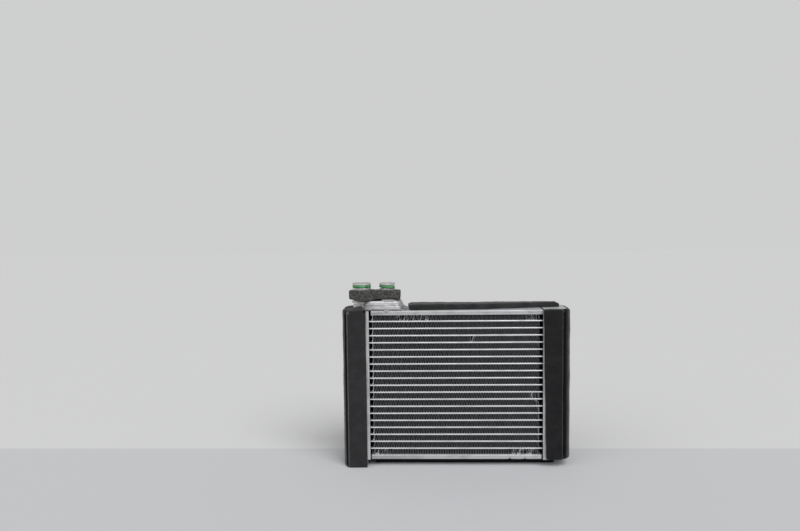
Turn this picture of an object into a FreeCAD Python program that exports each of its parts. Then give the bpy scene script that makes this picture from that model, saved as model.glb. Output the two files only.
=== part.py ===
import FreeCAD, Part
import math
import os
import Sketcher

# Evaporator core: flat refrigerant tubes and folded fins brazed between two upright tanks, with the
# suction and liquid ports on top at the left and foam seals round the outside.
# Millimetres. X runs to the right along the core, Y from the front face to the rear, Z up. The origin
# is on the surface that the part stands on, below the middle of its bounding box.

doc = FreeCAD.newDocument("EvaporatorCore")
sheet = doc.addObject("Spreadsheet::Sheet", "Sizes")

DRIVING_SIZES = {
    # Core
    "tube_count": 19,
    "tube_thickness": 1.7,
    "tube_depth": 35.0,
    "tube_edge": 0.5,
    "fin_height": 5.3,
    "fin_length": 163.0,
    "fin_inset": 0.5,
    "fin_waves": 15,
    "fin_sheet": 0.2,
    "bare_tube": 2.8,
    "tube_entry": 2.0,
    # Side plates, each a pair of pressed trays
    "side_plate_height": 4.3,
    "side_plate_margin": 1.0,
    "side_sheet": 0.8,
    "top_plate_gap": 2.0,
    "bottom_plate_gap": 1.0,
    # Header plates and tanks
    "header_sheet": 1.5,
    "header_lip": 4.2,
    "slot_clearance": 0.1,
    "tank_width": 23.2,
    "tank_margin": 0.4,
    "tank_wall": 1.2,
    "tank_corner": 9.0,
    "tank_rib": 2.4,
    "rib_clearance": 1.0,
    "left_head_drop": 3.1,
    "window_depth": 24.0,
    "window_height": 1.6,
    # Ports
    "port_spacing": 25.3,
    "suction_inset": 7.9,
    "suction_radius": 9.25,
    "suction_bore": 5.8,
    "suction_root": 7.2,
    "suction_stem": 7.3,
    "liquid_radius": 7.9,
    "liquid_bore": 4.2,
    "liquid_root": 5.4,
    "collar_height": 2.0,
    "groove_height": 2.6,
    "nose_height": 1.9,
    "ring_squeeze": 0.1,
    "ring_stand_out": 0.2,
    # Liquid passage on the top plate
    "passage_base_sheet": 1.2,
    "passage_height": 6.7,
    "passage_wall": 1.5,
    "passage_room": 9.0,
    "passage_left_reach": 1.3,
    "passage_right_reach": 16.5,
    "passage_margin": 2.0,
    "passage_end_slope": 5.0,
    "passage_side_slope": 7.5,
    "passage_corner": 6.0,
    "base_margin": 2.1,
    "boss_height": 1.3,
    "boss_margin": 1.6,
    "tab_width": 5.0,
    "tab_drop": 1.6,
    "tab_sheet": 1.0,
    # Foam
    "glue_gap": 0.15,
    "foam_pad": 2.45,
    "foam_wrap": 2.55,
    "foam_face_width": 15.8,
    "foam_step": 2.4,
    "foam_bulge": 7.8,
    "left_foam_start": 2.7,
    "right_foam_start": 1.6,
    "right_foam_margin": 0.3,
    "foam_top_wrap": 2.9,
    "foot_strip_height": 7.2,
    "foot_strip_depth": 20.0,
    "foot_strip_rear_inset": 6.5,
    "foot_strip_left_gap": 7.0,
    "foot_strip_right_reach": 12.7,
    "top_strip_height": 4.9,
    "top_strip_left_gap": 2.6,
    "top_strip_right_inset": 7.7,
    "top_strip_rear_inset": 10.0,
    "top_strip_left_depth": 23.7,
    "top_strip_middle_depth": 19.3,
    "top_strip_right_depth": 4.0,
    "top_strip_bend": 30.0,
    "top_strip_end_slant": 1.9,
    "gasket_gap": 1.3,
    "gasket_height": 8.8,
    "gasket_half_depth": 13.0,
    "gasket_end": 13.0,
}

for row, (alias, amount) in enumerate(DRIVING_SIZES.items(), start=1):
    sheet.set(f"A{row}", alias)
    sheet.set(f"B{row}", str(amount))
    sheet.setAlias(f"B{row}", alias)
doc.recompute()


class Size:
    """A size worked out from the sheet: its amount, and the expression that keeps it tied."""

    def __init__(self, text, amount):
        self.text = text
        self.amount = amount

    @staticmethod
    def of(other):
        return other if isinstance(other, Size) else Size(repr(float(other)), float(other))

    def joined(self, sign, other, amount):
        return Size(f"({self.text} {sign} {other.text})", amount)

    def __add__(self, other):
        other = Size.of(other)
        return self.joined("+", other, self.amount + other.amount)

    def __radd__(self, other):
        return Size.of(other) + self

    def __sub__(self, other):
        other = Size.of(other)
        return self.joined("-", other, self.amount - other.amount)

    def __rsub__(self, other):
        return Size.of(other) - self

    def __mul__(self, other):
        other = Size.of(other)
        return self.joined("*", other, self.amount * other.amount)

    def __rmul__(self, other):
        return Size.of(other) * self

    def __truediv__(self, other):
        other = Size.of(other)
        return self.joined("/", other, self.amount / other.amount)

    def __neg__(self):
        return self * -1

    def across(self, other):
        """The slanting distance whose two square parts are this size and another."""
        return Size(f"sqrt({self.text} ^ 2 + {other.text} ^ 2)", math.hypot(self.amount, other.amount))


def size(alias):
    """A driving size of the sheet."""
    return Size(f"Sizes.{alias}", float(sheet.get(alias)))


# Heights
tube_pitch = size("tube_thickness") + size("fin_height")
plates_foot = size("foot_strip_height")
fins_foot = plates_foot + size("side_plate_height")
fins_head = fins_foot + size("tube_count") * tube_pitch + size("fin_height")
plates_head = fins_head + size("side_plate_height")
left_tank_head = plates_head - size("left_head_drop")
top_seam = fins_head + size("side_plate_height") / 2
bottom_seam = plates_foot + size("side_plate_height") / 2
base_head = plates_head + size("passage_base_sheet")
passage_head = base_head + size("passage_height")
boss_head = passage_head + size("boss_height")
gasket_foot = boss_head + size("gasket_gap")
gasket_head = gasket_foot + size("gasket_height")
collar_head = gasket_head + size("collar_height")
groove_head = collar_head + size("groove_height")
nose_head = groove_head + size("nose_height")

# Distances from the middle plane of the core, to the front or the rear
plate_half_depth = size("tube_depth") / 2 + size("side_plate_margin")
tank_half_depth = plate_half_depth + size("tank_margin")
header_half_depth = tank_half_depth + size("header_sheet")
foam_half_depth = header_half_depth + size("glue_gap") + size("foam_pad")
passage_half_depth = plate_half_depth - size("passage_margin")

# Distances from the middle plane of the core, to the left or the right
header_face = size("fin_length") / 2 + size("bare_tube")
tank_face = header_face + size("header_sheet")
tank_back = tank_face + size("tank_width")
tube_end = tank_face + size("tube_entry")
foam_back = tank_back + size("glue_gap") + size("foam_wrap")
header_lip_end = tank_face + size("header_lip")

# Foam
left_foam_start = header_face + size("left_foam_start")
right_foam_start = header_face + size("right_foam_start")
left_foam_head = left_tank_head + size("glue_gap") + size("foam_top_wrap")

# Ports and the liquid passage
suction_x = -(header_face + size("suction_inset"))
liquid_x = suction_x + size("port_spacing")
passage_left = suction_x + size("passage_left_reach")
passage_right = liquid_x + size("passage_right_reach")
pipe_room = size("suction_radius") + size("glue_gap")
stem_room = size("suction_stem") + size("glue_gap")

LEFT = -1
RIGHT = 1

# How far a cut starts outside the piece that it cuts
OVERCUT = 1

# Sides of a round shape that no pipe end or socket turns in
ROUND_SIDES = 24


def new_body(name):
    body = doc.addObject("PartDesign::Body", name)
    body.Label = name
    return body


def plane(body, role):
    return next(feature for feature in body.Origin.OriginFeatures if feature.Role == role)


def new_sketch(body, name, role, level):
    """A sketch flat on an origin plane of its body, moved along the plane's normal to a level."""
    sketch = body.newObject("Sketcher::SketchObject", f"{body.Name}_{name}")
    sketch.AttachmentSupport = [(plane(body, role), "")]
    sketch.MapMode = "FlatFace"
    level = Size.of(level)
    sketch.AttachmentOffset = FreeCAD.Placement(FreeCAD.Vector(0, 0, level.amount), FreeCAD.Rotation())
    sketch.setExpression("AttachmentOffset.Base.z", level.text)
    return sketch


def tie(sketch, kind, geometry, point, amount):
    """Holds one coordinate of a sketch point, or a circle's radius, to a size."""
    amount = Size.of(amount)
    if kind == "Radius":
        index = sketch.addConstraint(Sketcher.Constraint("Radius", geometry, amount.amount))
    else:
        index = sketch.addConstraint(Sketcher.Constraint(kind, -1, 1, geometry, point, amount.amount))
    sketch.setExpression(f"Constraints[{index}]", amount.text)


def draw_outline(sketch, corners):
    """A closed outline through corners, each a pair of sizes, with a radius as third where it is rounded."""
    corners = [tuple(Size.of(amount) for amount in corner) for corner in corners]
    points = [FreeCAD.Vector(corner[0].amount, corner[1].amount, 0) for corner in corners]
    count = len(points)
    roundings = {}
    for index, corner in enumerate(corners):
        if len(corner) == 3:
            before, after = points[index - 1], points[(index + 1) % count]
            roundings[index] = Rounding(before, points[index], after, corner[2].amount)
    first = sketch.GeometryCount
    for index in range(count):
        after = (index + 1) % count
        start = roundings[index].leaves if index in roundings else points[index]
        end = roundings[after].enters if after in roundings else points[after]
        sketch.addGeometry(Part.LineSegment(start, end))
    for index, corner in enumerate(corners):
        line_in, line_out = first + (index - 1) % count, first + index
        if index in roundings:
            arc = sketch.addGeometry(roundings[index].arc())
            point = sketch.addGeometry(Part.Point(points[index]), True)
            enters, leaves = (1, 2) if roundings[index].turns_left else (2, 1)
            sketch.addConstraint(Sketcher.Constraint("Tangent", line_in, 2, arc, enters))
            sketch.addConstraint(Sketcher.Constraint("Tangent", arc, leaves, line_out, 1))
            sketch.addConstraint(Sketcher.Constraint("PointOnObject", point, 1, line_in))
            sketch.addConstraint(Sketcher.Constraint("PointOnObject", point, 1, line_out))
            tie(sketch, "Radius", arc, 0, corner[2])
        else:
            point = line_out
            sketch.addConstraint(Sketcher.Constraint("Coincident", line_in, 2, line_out, 1))
        tie(sketch, "DistanceX", point, 1, corner[0])
        tie(sketch, "DistanceY", point, 1, corner[1])


class Rounding:
    """Where a rounded corner's arc leaves its two sides."""

    def __init__(self, before, corner, after, radius):
        inward = (before - corner).normalize()
        outward = (after - corner).normalize()
        half_angle = inward.getAngle(outward) / 2
        middle = (inward + outward).normalize()
        self.radius = radius
        self.enters = corner + inward * (radius / math.tan(half_angle))
        self.leaves = corner + outward * (radius / math.tan(half_angle))
        self.centre = corner + middle * (radius / math.sin(half_angle))
        self.turns_left = (corner - before).cross(after - corner).z > 0

    def arc(self):
        start, end = (self.enters, self.leaves) if self.turns_left else (self.leaves, self.enters)
        first, second = start - self.centre, end - self.centre
        circle = Part.Circle(self.centre, FreeCAD.Vector(0, 0, 1), self.radius)
        return Part.ArcOfCircle(circle, math.atan2(first.y, first.x), math.atan2(second.y, second.x))


def draw_many_sided(sketch, x, radius):
    """A many-sided outline on the X axis, with its flats a radius away from its middle."""
    reach = radius / math.cos(math.pi / ROUND_SIDES)
    corners = []
    for number in range(ROUND_SIDES):
        angle = math.pi * (2 * number + 1) / ROUND_SIDES
        corners.append((x + reach * math.cos(angle), reach * math.sin(angle)))
    draw_outline(sketch, corners)


def box_corners(low_x, high_x, low_y, high_y):
    return [(low_x, low_y), (high_x, low_y), (high_x, high_y), (low_x, high_y)]


def add_pad(body, sketch, length, both_ways=False, reverse=False):
    length = Size.of(length)
    pad = body.newObject("PartDesign::Pad", f"{sketch.Name}_pad")
    pad.Profile = sketch
    pad.Length = length.amount
    pad.setExpression("Length", length.text)
    pad.Midplane = both_ways
    pad.Reversed = reverse
    doc.recompute()
    return pad


def add_pocket(body, sketch, length, both_ways=False, reverse=False):
    """Cuts a pocket, and stops the build if it takes nothing away."""
    length = Size.of(length)
    before = body.Shape.Volume
    pocket = body.newObject("PartDesign::Pocket", f"{sketch.Name}_pocket")
    pocket.Profile = sketch
    pocket.Length = length.amount
    pocket.setExpression("Length", length.text)
    pocket.Midplane = both_ways
    pocket.Reversed = reverse
    doc.recompute()
    if not body.Shape.Volume < before:
        raise RuntimeError(f"{pocket.Name} cuts nothing")
    return pocket


def add_tube(number):
    """A flat tube with bevelled front and rear edges. Its row of small flow ports isn't cut."""
    body = new_body(f"tube_{number:02d}")
    half_depth, half_thickness = size("tube_depth") / 2, size("tube_thickness") / 2
    edge = size("tube_edge")
    front_half = [
        (half_depth - edge, half_thickness),
        (half_depth, half_thickness - edge),
        (half_depth, edge - half_thickness),
        (half_depth - edge, -half_thickness),
    ]
    section = new_sketch(body, "section", "YZ_Plane", 0)
    draw_outline(section, front_half + mirrored(front_half[::-1], -1, 1))
    add_pad(body, section, tube_end * 2, both_ways=True)
    place_upright(body, fins_foot + tube_pitch * number - half_thickness)
    return body


def place_upright(feature, level):
    """Lifts a whole sub-part to its level."""
    feature.Placement.Base.z = level.amount
    feature.setExpression("Placement.Base.z", level.text)


def add_fin(number):
    """One folded fin, from a tube to the next: waves of two leaning legs, meeting in sharp crests."""
    body = new_body(f"fin_{number:02d}")
    wave = size("fin_length") / size("fin_waves")
    start, height = -size("fin_length") / 2, size("fin_height")
    crest = size("fin_sheet") * height.across(wave / 2) / (wave / 2)
    section = new_sketch(body, "wave", "XZ_Plane", 0)
    draw_outline(section, [
        (start, 0),
        (start + wave / 2, height - crest),
        (start + wave, 0),
        (start + wave, crest),
        (start + wave / 2, height),
        (start, crest),
    ])
    pad = add_pad(body, section, size("tube_depth") - size("fin_inset") * 2, both_ways=True)
    add_row(body, pad, section, "H_Axis", size("fin_waves"), wave)
    place_upright(body, fins_foot + tube_pitch * (number - 1))
    return body


def add_row(body, feature, sketch, axis, count, pitch):
    """Repeats a feature in a row along an axis of its sketch."""
    row = body.newObject("PartDesign::LinearPattern", f"{feature.Name}_row")
    row.Originals = [feature]
    row.Direction = (sketch, [axis])
    length = (count - 1) * pitch
    row.Length = length.amount
    row.setExpression("Length", length.text)
    row.Occurrences = int(count.amount)
    row.setExpression("Occurrences", count.text)
    body.Tip = row
    doc.recompute()


def add_header_plate(name, side, has_window):
    """The slotted plate that the tube ends enter, with a lip along its front and rear edges."""
    body = new_body(name)
    inner_lip, outer_lip = tank_half_depth, header_half_depth
    profile = new_sketch(body, "section", "XY_Plane", plates_foot)
    draw_outline(profile, [
        (side * header_face, -outer_lip),
        (side * header_lip_end, -outer_lip),
        (side * header_lip_end, -inner_lip),
        (side * tank_face, -inner_lip),
        (side * tank_face, inner_lip),
        (side * header_lip_end, inner_lip),
        (side * header_lip_end, outer_lip),
        (side * header_face, outer_lip),
    ])
    add_pad(body, profile, plates_head - plates_foot)
    slot = new_sketch(body, "slot", "YZ_Plane", side * (header_face - OVERCUT))
    half_depth = size("tube_depth") / 2 + size("slot_clearance")
    half_height = size("tube_thickness") / 2 + size("slot_clearance")
    level = fins_foot + tube_pitch - size("tube_thickness") / 2
    draw_outline(slot, box_corners(-half_depth, half_depth, level - half_height, level + half_height))
    through = size("header_sheet") + OVERCUT * 2
    cut = add_pocket(body, slot, through, reverse=side == RIGHT)
    add_row(body, cut, slot, "V_Axis", size("tube_count"), tube_pitch)
    if has_window:
        window = new_sketch(body, "window", "YZ_Plane", side * (header_face - OVERCUT))
        half_window = size("window_depth") / 2
        top = plates_head - size("side_sheet") - size("tank_wall") / 2
        draw_outline(window, box_corners(-half_window, half_window, top - size("window_height"), top))
        add_pocket(body, window, through, reverse=side == RIGHT)
    return body


def add_tank_cover(name, side, foot, head):
    """A drawn cover with closed ends, and a rib on its back that parts the flow into front and rear."""
    body = new_body(name)
    half, wall, corner = tank_half_depth, size("tank_wall"), size("tank_corner")
    outline = new_sketch(body, "outline", "XY_Plane", foot)
    outer_half = [(tank_back, half, corner), (tank_face, half)]
    draw_outline(outline, mirrored(outer_half[::-1], side, -1) + mirrored(outer_half, side, 1))
    add_pad(body, outline, head - foot)
    hollow = new_sketch(body, "hollow", "XY_Plane", head - wall)
    rib_edge, rib_end = size("tank_rib") / 2, tube_end + size("rib_clearance")
    inner_half = [
        (rib_end, rib_edge),
        (tank_back - wall, rib_edge),
        (tank_back - wall, half - wall, corner - wall),
        (tank_face, half - wall),
    ]
    draw_outline(hollow, mirrored(inner_half[::-1], side, -1) + mirrored(inner_half, side, 1))
    add_pocket(body, hollow, head - foot - wall * 2)
    return body


def add_side_tray(name, low, high, left, right, opens_up=False, opens_right=False):
    """Half of a side plate: a pressed tray whose rim meets its pair at the seam."""
    body = new_body(name)
    half, sheet_thickness = plate_half_depth, size("side_sheet")
    plan = new_sketch(body, "plan", "XY_Plane", low)
    draw_outline(plan, box_corners(left, right, -half, half))
    add_pad(body, plan, high - low)
    hollow = new_sketch(body, "hollow", "XY_Plane", high if opens_up else low)
    hollow_right = right + OVERCUT if opens_right else right - sheet_thickness
    hollow_half = half - sheet_thickness
    draw_outline(hollow, box_corners(left + sheet_thickness, hollow_right, -hollow_half, hollow_half))
    add_pocket(body, hollow, high - low - sheet_thickness, reverse=not opens_up)
    return body


def bore_upright(body, name, x, radius, top, depth):
    """An upright hole of many sides, cut down from the top of a piece."""
    sketch = new_sketch(body, name, "XY_Plane", top + OVERCUT)
    draw_many_sided(sketch, x, radius)
    return add_pocket(body, sketch, depth + OVERCUT)


def add_passage_base():
    """The flat base of the liquid passage, with a locating tab bent over the top plate's front edge."""
    body = new_body("passage_base")
    left, right = passage_left, passage_right + size("base_margin")
    half, corner = plate_half_depth, size("passage_corner")
    plan = new_sketch(body, "plan", "XY_Plane", plates_head)
    draw_outline(plan, [
        (left, -half),
        (right - corner, -half),
        (right, -half + corner),
        (right, half - corner),
        (right - corner, half),
        (left, half),
    ])
    add_pad(body, plan, size("passage_base_sheet"))
    tab = new_sketch(body, "tab", "XZ_Plane", half)
    half_tab = size("tab_width") / 2
    draw_outline(tab, [
        (liquid_x - half_tab, base_head),
        (liquid_x - half_tab, plates_head),
        (liquid_x, plates_head - size("tab_drop")),
        (liquid_x + half_tab, plates_head),
        (liquid_x + half_tab, base_head),
    ])
    add_pad(body, tab, size("tab_sheet"))
    through = size("passage_base_sheet") + OVERCUT
    bore_upright(body, "suction_scallop", suction_x, pipe_room, base_head, through)
    bore_upright(body, "liquid_hole", liquid_x, size("liquid_bore"), base_head, through)
    return body


def add_passage_body():
    """The pressed dome of the liquid passage, with four sloped sides and a boss round the liquid pipe."""
    body = new_body("passage_body")
    end_slope, side_slope = size("passage_end_slope"), size("passage_side_slope")
    half, corner = passage_half_depth, size("passage_corner")
    outline = new_sketch(body, "outline", "XZ_Plane", 0)
    draw_outline(outline, [
        (passage_left, base_head),
        (passage_right, base_head),
        (passage_right - end_slope, passage_head),
        (passage_left + end_slope, passage_head),
    ])
    add_pad(body, outline, half * 2, both_ways=True)
    slopes = new_sketch(body, "side_slopes", "YZ_Plane", (passage_left + passage_right) / 2)
    corners = new_sketch(body, "corners", "XY_Plane", passage_head)
    for end in (-1, 1):
        draw_outline(slopes, [
            (end * half, base_head),
            (end * half, passage_head),
            (end * (half - side_slope), passage_head),
        ])
        draw_outline(corners, [
            (passage_right, end * half),
            (passage_right, end * (half - corner)),
            (passage_right - corner, end * half),
        ])
    add_pocket(body, slopes, passage_right - passage_left, both_ways=True)
    add_pocket(body, corners, size("passage_height"))
    boss = new_sketch(body, "boss", "XY_Plane", passage_head)
    draw_many_sided(boss, liquid_x, size("liquid_radius") + size("boss_margin"))
    add_pad(body, boss, size("boss_height"))
    wall, half_room = size("passage_wall"), size("passage_room") / 2
    room = new_sketch(body, "room", "XY_Plane", passage_head - wall)
    room_left, room_right = suction_x + pipe_room + wall, passage_right - end_slope
    draw_outline(room, box_corners(room_left, room_right, -half_room, half_room))
    add_pocket(body, room, size("passage_height") - wall)
    through = size("passage_height") + OVERCUT
    bore_upright(body, "suction_scallop", suction_x, pipe_room, passage_head, through)
    bore_upright(body, "liquid_hole", liquid_x, size("liquid_bore"), boss_head, size("boss_height") + wall)
    return body


def spigot_profile(port, seat):
    """A pipe end's bore up to its nose, and its outside down over the ring's groove to the collar."""
    radius, bore, root = size(f"{port}_radius"), size(f"{port}_bore"), size(f"{port}_root")
    return [
        (bore, seat),
        (bore, nose_head),
        (radius, nose_head),
        (radius, groove_head),
        (root, groove_head),
        (root, collar_head),
        (radius, collar_head),
    ]


def add_suction_pipe():
    """The suction pipe end: a narrow stem on the left tank's head, and a spigot with a ring groove."""
    radius, stem = size("suction_radius"), size("suction_stem")
    foot = [(radius, passage_head), (stem, passage_head), (stem, left_tank_head)]
    return turned_body("suction_pipe", suction_x, spigot_profile("suction", left_tank_head) + foot)


def add_liquid_pipe():
    """The liquid pipe end, which stands on the passage's boss."""
    foot = [(size("liquid_radius"), boss_head)]
    return turned_body("liquid_pipe", liquid_x, spigot_profile("liquid", boss_head) + foot)


def turned_body(name, x, outline):
    """A body turned round the upright axis of its port."""
    body = new_body(name)
    profile = new_sketch(body, "profile", "XZ_Plane", 0)
    draw_outline(profile, outline)
    turned = body.newObject("PartDesign::Revolution", f"{name}_turned")
    turned.Profile = profile
    turned.ReferenceAxis = (profile, ["V_Axis"])
    turned.Angle = 360
    body.Placement.Base.x = x.amount
    body.setExpression("Placement.Base.x", x.text)
    doc.recompute()
    return body


def add_seal_ring(port, x):
    """The rubber ring in a spigot's groove, which stands just proud of the spigot."""
    body = new_body(f"{port}_seal_ring")
    squeeze = size("ring_squeeze")
    plan = new_sketch(body, "plan", "XY_Plane", collar_head + squeeze)
    draw_many_sided(plan, x, size(f"{port}_radius") + size("ring_stand_out"))
    draw_many_sided(plan, x, size(f"{port}_root") + squeeze)
    add_pad(body, plan, size("groove_height") - squeeze * 2)
    return body


def add_port_gasket():
    """The block of open-cell foam that both spigots pass through."""
    body = new_body("port_gasket")
    half = size("gasket_half_depth")
    plan = new_sketch(body, "plan", "XY_Plane", gasket_foot)
    left, right = suction_x - size("gasket_end"), liquid_x + size("gasket_end")
    draw_outline(plan, box_corners(left, right, -half, half))
    draw_many_sided(plan, suction_x, pipe_room)
    draw_many_sided(plan, liquid_x, size("liquid_radius") + size("glue_gap"))
    add_pad(body, plan, size("gasket_height"))
    return body


def foam_section(side, start):
    """Foam round a tank in plan: a flat front pad, a step beside it and a bulge round the tank's back."""
    gap = size("glue_gap")
    half = foam_half_depth
    pad_edge = start + size("foam_face_width")
    lip, inner = header_half_depth + gap, tank_half_depth + gap
    front_half = [
        (start, half),
        (pad_edge, half),
        (pad_edge + size("foam_step") / 2, half - size("foam_step")),
        (foam_back, half - size("foam_step"), size("foam_bulge")),
    ]
    hollow_half = [
        (tank_back + gap, inner, size("tank_corner") + gap),
        (header_lip_end + gap, inner),
        (header_lip_end + gap, lip),
        (start, lip),
    ]
    outline = mirrored(front_half, side, -1) + mirrored(front_half[::-1], side, 1)
    return outline + mirrored(hollow_half[::-1], side, 1) + mirrored(hollow_half, side, -1)


def mirrored(corners, side, end):
    return [(side * corner[0], end * corner[1], *corner[2:]) for corner in corners]


def add_tank_foam(name, side, start, foot, head):
    """The foam sleeve of a tank, open towards the core and round the header plate's lips."""
    body = new_body(name)
    outline = new_sketch(body, "outline", "XY_Plane", foot)
    draw_outline(outline, foam_section(side, start))
    add_pad(body, outline, head - foot)
    return body


def close_foam_end(body, name, side, start, low, high):
    """A slab of foam across one end of the tank, filling the hollow of its sleeve."""
    gap = size("glue_gap")
    slab = new_sketch(body, name, "XY_Plane", low)
    half, back = tank_half_depth, tank_back + gap
    slab_half = [
        (start, half - gap),
        (header_lip_end + gap, half - gap),
        (header_lip_end + gap, half + gap),
        (back, half + gap, size("tank_corner") + gap),
    ]
    draw_outline(slab, mirrored(slab_half, side, -1) + mirrored(slab_half[::-1], side, 1))
    add_pad(body, slab, high - low)


def add_left_foam():
    body = add_tank_foam("left_tank_foam", LEFT, left_foam_start, Size.of(0), left_foam_head)
    close_foam_end(body, "top_fold", LEFT, left_foam_start, left_tank_head + size("glue_gap"), left_foam_head)
    close_foam_end(body, "bottom_fold", LEFT, left_foam_start, Size.of(0), plates_foot - size("glue_gap"))
    bore_upright(body, "suction_hole", suction_x, stem_room, left_foam_head, size("foam_top_wrap"))
    return body


def add_top_strip():
    """The seal strip along the top: its front edge runs back towards the right, and its left end slants."""
    body = new_body("top_foam_strip")
    left = passage_right + size("base_margin") + size("top_strip_left_gap")
    right = foam_back - size("top_strip_right_inset")
    rear = plate_half_depth - size("top_strip_rear_inset")
    plan = new_sketch(body, "plan", "XY_Plane", plates_head)
    draw_outline(plan, [
        (left, rear - size("top_strip_left_depth")),
        (size("top_strip_bend"), rear - size("top_strip_middle_depth")),
        (right, rear - size("top_strip_right_depth")),
        (right, rear),
        (left, rear),
    ])
    add_pad(body, plan, size("top_strip_height"))
    slant = new_sketch(body, "end_slant", "XZ_Plane", -rear)
    draw_outline(slant, [
        (left, plates_head),
        (left + size("top_strip_end_slant"), plates_head),
        (left, plates_head + size("top_strip_height")),
    ])
    add_pocket(body, slant, size("top_strip_left_depth") * 2, both_ways=True)
    return body


def add_foot_strip():
    """The seal strip along the bottom, which carries the core when it stands."""
    body = new_body("bottom_foam_strip")
    left = size("foot_strip_left_gap") - left_foam_start
    right = header_face + size("foot_strip_right_reach")
    rear = plate_half_depth - size("foot_strip_rear_inset")
    plan = new_sketch(body, "plan", "XY_Plane", 0)
    draw_outline(plan, box_corners(left, right, rear - size("foot_strip_depth"), rear))
    add_pad(body, plan, size("foot_strip_height"))
    return body


pieces = []
for number in range(1, int(size("tube_count").amount) + 1):
    pieces.append(add_tube(number))
for number in range(1, int(size("tube_count").amount) + 2):
    pieces.append(add_fin(number))

left_header = add_header_plate("left_header_plate", LEFT, has_window=False)
bore_upright(left_header, "suction_scallop", suction_x, stem_room, plates_head, size("left_head_drop"))
pieces.append(left_header)
pieces.append(add_header_plate("right_header_plate", RIGHT, has_window=True))

left_cover = add_tank_cover("left_tank_cover", LEFT, plates_foot, left_tank_head)
bore_upright(left_cover, "suction_hole", suction_x, size("suction_bore"), left_tank_head, size("tank_wall"))
pieces.append(left_cover)
pieces.append(add_tank_cover("right_tank_cover", RIGHT, plates_foot, plates_head))

ends = -(header_face - size("top_plate_gap")), header_face
pieces.append(add_side_tray("top_plate_inner", fins_head, top_seam, *ends, opens_up=True, opens_right=True))
top_outer = add_side_tray("top_plate_outer", top_seam, plates_head, *ends, opens_right=True)
bore_upright(top_outer, "liquid_hole", liquid_x, size("liquid_bore"), plates_head, size("side_sheet"))
pieces.append(top_outer)
ends = -(header_face - size("bottom_plate_gap")), header_face - size("bottom_plate_gap")
pieces.append(add_side_tray("bottom_plate_inner", bottom_seam, fins_foot, *ends))
pieces.append(add_side_tray("bottom_plate_outer", plates_foot, bottom_seam, *ends, opens_up=True))

pieces.append(add_passage_base())
pieces.append(add_passage_body())
pieces.append(add_suction_pipe())
pieces.append(add_liquid_pipe())
pieces.append(add_seal_ring("suction", suction_x))
pieces.append(add_seal_ring("liquid", liquid_x))
pieces.append(add_port_gasket())

pieces.append(add_left_foam())
right_foam = add_tank_foam(
    "right_tank_foam", RIGHT, right_foam_start,
    plates_foot + size("right_foam_margin"), plates_head + size("right_foam_margin"),
)
pieces.append(right_foam)
pieces.append(add_top_strip())
pieces.append(add_foot_strip())

doc.recompute()

for item in doc.Objects:
    if "Invalid" in item.State or "Error" in item.State:
        raise RuntimeError(f"{item.Name} failed to recompute")
for piece in pieces:
    if piece.Shape.isNull() or not piece.Shape.isValid():
        raise RuntimeError(f"{piece.Label} has no valid shape")

os.makedirs("parts", exist_ok=True)
for piece in pieces:
    piece.Shape.exportStep(f"parts/{piece.Label}.step")
print(f"{len(pieces)} sub-parts written")
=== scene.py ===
"""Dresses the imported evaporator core: tubes, folded fins, ports and foam seals, on a pale floor."""

import logging
import math
from dataclasses import dataclass, replace
from enum import Enum, IntEnum
from typing import Callable, Self, Sequence

import bmesh
import bpy
from mathutils import Matrix, Vector, noise


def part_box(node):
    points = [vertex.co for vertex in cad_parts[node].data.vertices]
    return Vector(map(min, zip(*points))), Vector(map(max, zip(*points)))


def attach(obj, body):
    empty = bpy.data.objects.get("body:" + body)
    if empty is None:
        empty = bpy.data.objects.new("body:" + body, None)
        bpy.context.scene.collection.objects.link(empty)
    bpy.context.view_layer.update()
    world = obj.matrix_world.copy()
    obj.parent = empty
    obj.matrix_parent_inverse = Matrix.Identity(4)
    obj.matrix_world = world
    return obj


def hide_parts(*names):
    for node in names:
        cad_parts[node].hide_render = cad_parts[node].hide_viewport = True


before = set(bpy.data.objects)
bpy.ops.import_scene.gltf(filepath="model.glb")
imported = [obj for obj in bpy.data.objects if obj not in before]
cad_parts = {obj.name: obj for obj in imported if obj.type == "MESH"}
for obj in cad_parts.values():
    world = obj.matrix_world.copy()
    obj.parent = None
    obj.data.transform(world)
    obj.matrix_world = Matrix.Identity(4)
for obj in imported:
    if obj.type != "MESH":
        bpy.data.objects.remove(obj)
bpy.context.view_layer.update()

log = logging.getLogger("evaporator_core")

MM = 0.001
Colour = tuple[float, float, float]
Point = Sequence[float]
Run = tuple[Point, Point]


# Shader maths


class Signal:
    """A number or colour in a finish's nodes, for use in Python expressions."""

    def __init__(self, graph: "Graph", socket: bpy.types.NodeSocket) -> None:
        """Keeps the graph and the output socket that carries the value."""
        self.graph = graph
        self.socket = socket

    def _maths(self, operation: str, *values: "Value") -> Self:
        """Adds a Math node that works on the values."""
        return self.graph.node("ShaderNodeMath", {"operation": operation}, dict(enumerate(values)))

    def __add__(self, other: "Value") -> Self:
        """This plus another value."""
        return self._maths("ADD", self, other)

    __radd__ = __add__

    def __sub__(self, other: "Value") -> Self:
        """This less another value."""
        return self._maths("SUBTRACT", self, other)

    def __rsub__(self, other: "Value") -> Self:
        """Another value less this."""
        return self._maths("SUBTRACT", other, self)

    def __mul__(self, other: "Value") -> Self:
        """This times another value."""
        return self._maths("MULTIPLY", self, other)

    __rmul__ = __mul__

    def size(self) -> Self:
        """This without its sign."""
        return self._maths("ABSOLUTE", self)

    def wrapped(self, length: float) -> Self:
        """What is left of this after whole lengths are taken off."""
        return self._maths("MODULO", self, length)

    def between(self, low: float, high: float) -> Self:
        """A soft mask that is 0 below low and 1 above high."""
        values = {"Value": self, "From Min": low, "From Max": high}
        return self.graph.node("ShaderNodeMapRange", {"interpolation_type": "SMOOTHSTEP"}, values)


Value = Signal | float | Sequence[float]


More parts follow.
